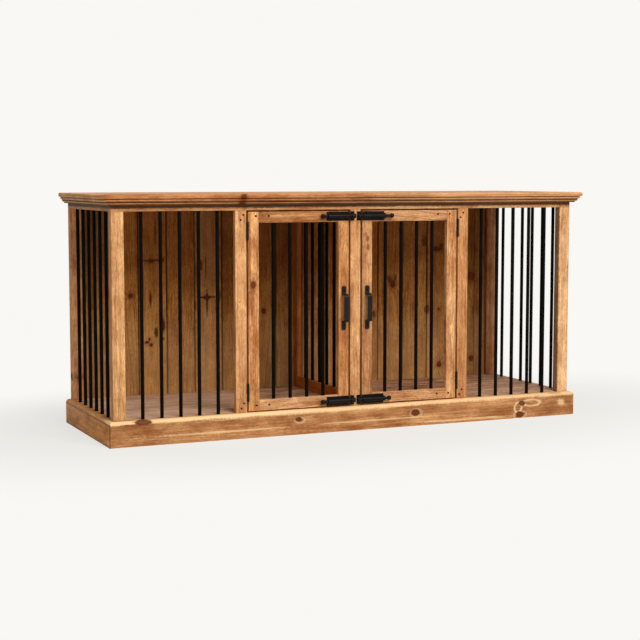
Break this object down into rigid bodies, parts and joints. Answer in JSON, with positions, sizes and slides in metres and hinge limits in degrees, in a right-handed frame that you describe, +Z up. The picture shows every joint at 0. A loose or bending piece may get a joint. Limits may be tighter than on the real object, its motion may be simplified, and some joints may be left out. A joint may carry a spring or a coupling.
{
  "type": "double pet crate",
  "caption": "Wooden double pet crate with black steel bars, a divider, two hinged doors with slide bolts and pull handles, a plinth and a moulded crown.",
  "frame": {"origin": "middle of the box round the whole crate, on the floor", "axes": "+X to the right as seen from the front, +Y to the back wall, +Z up"},
  "size_m": [1.894, 0.617, 0.864],
  "materials": {
    "pine_frame": "satin honey stain",
    "pine_boards": "satin honey stain",
    "pine_floor": "satin brown stain",
    "pine_inside": "satin honey stain",
    "black_steel": "satin black powder coat"
  },
  "bodies": {
    "frame": {"plinth_front": "pine_frame", "plinth_left": "pine_frame", "plinth_right": "pine_frame", "base_rail_front": "pine_frame", "base_rail_back": "pine_frame", "base_side_rails": "pine_frame", "floor_joists": "pine_inside", "floor_boards": "pine_floor", "post_front_left": "pine_frame", "post_front_right": "pine_frame", "post_back_left": "pine_frame", "post_back_right": "pine_frame", "post_inner_left": "pine_frame", "post_inner_right": "pine_frame", "mullion": "pine_frame", "top_rail_front": "pine_frame", "top_rail_back": "pine_frame", "top_side_rails": "pine_frame", "top_bearers": "pine_inside", "back_boards": "pine_boards", "top_boards": "pine_boards", "crown_front": "pine_frame", "crown_left": "pine_frame", "crown_right": "pine_frame", "bars_front_left": "black_steel", "bars_front_right": "black_steel", "bars_left_end": "black_steel", "bars_right_end": "black_steel", "divider_front_stile": "pine_inside", "divider_back_stile": "pine_inside", "divider_bottom_rail": "pine_inside", "divider_top_rail": "pine_inside", "divider_bars": "black_steel", "hinge_frame_leaves": "black_steel", "hinge_pins": "black_steel", "bolt_keepers": "black_steel", "frame_screws": "black_steel"},
    "left_door": {"left_door_hinge_stile": "pine_frame", "left_door_latch_stile": "pine_frame", "left_door_top_rail": "pine_frame", "left_door_bottom_rail": "pine_frame", "left_door_bars": "black_steel", "left_hinge_door_leaves": "black_steel", "left_door_handle": "black_steel", "left_door_bolts": "black_steel", "left_door_screws": "black_steel"},
    "right_door": {"right_door_hinge_stile": "pine_frame", "right_door_latch_stile": "pine_frame", "right_door_top_rail": "pine_frame", "right_door_bottom_rail": "pine_frame", "right_door_bars": "black_steel", "right_hinge_door_leaves": "black_steel", "right_door_handle": "black_steel", "right_door_bolts": "black_steel", "right_door_screws": "black_steel"},
    "left_top_bolt": {"left_top_bolt_rod": "black_steel"},
    "left_bottom_bolt": {"left_bottom_bolt_rod": "black_steel"},
    "right_top_bolt": {"right_top_bolt_rod": "black_steel"},
    "right_bottom_bolt": {"right_bottom_bolt_rod": "black_steel"}
  },
  "joints": [
    {"name": "left_door_hinge", "type": "hinge", "parent": "frame", "child": "left_door", "pos_m": [-0.4195, -0.278, 0.4465], "axis": [0, 0, -1], "range_deg": [0, 165]},
    {"name": "right_door_hinge", "type": "hinge", "parent": "frame", "child": "right_door", "pos_m": [0.4195, -0.278, 0.4465], "axis": [0, 0, 1], "range_deg": [0, 165]},
    {"name": "left_top_bolt_slide", "type": "slide", "parent": "left_door", "child": "left_top_bolt", "axis": [-1, 0, 0], "range_m": [-0.01, 0.0085]},
    {"name": "left_bottom_bolt_slide", "type": "slide", "parent": "left_door", "child": "left_bottom_bolt", "axis": [-1, 0, 0], "range_m": [-0.01, 0.0085]},
    {"name": "right_top_bolt_slide", "type": "slide", "parent": "right_door", "child": "right_top_bolt", "axis": [1, 0, 0], "range_m": [-0.0185, 0]},
    {"name": "right_bottom_bolt_slide", "type": "slide", "parent": "right_door", "child": "right_bottom_bolt", "axis": [1, 0, 0], "range_m": [-0.01, 0.0085]}
  ]
}
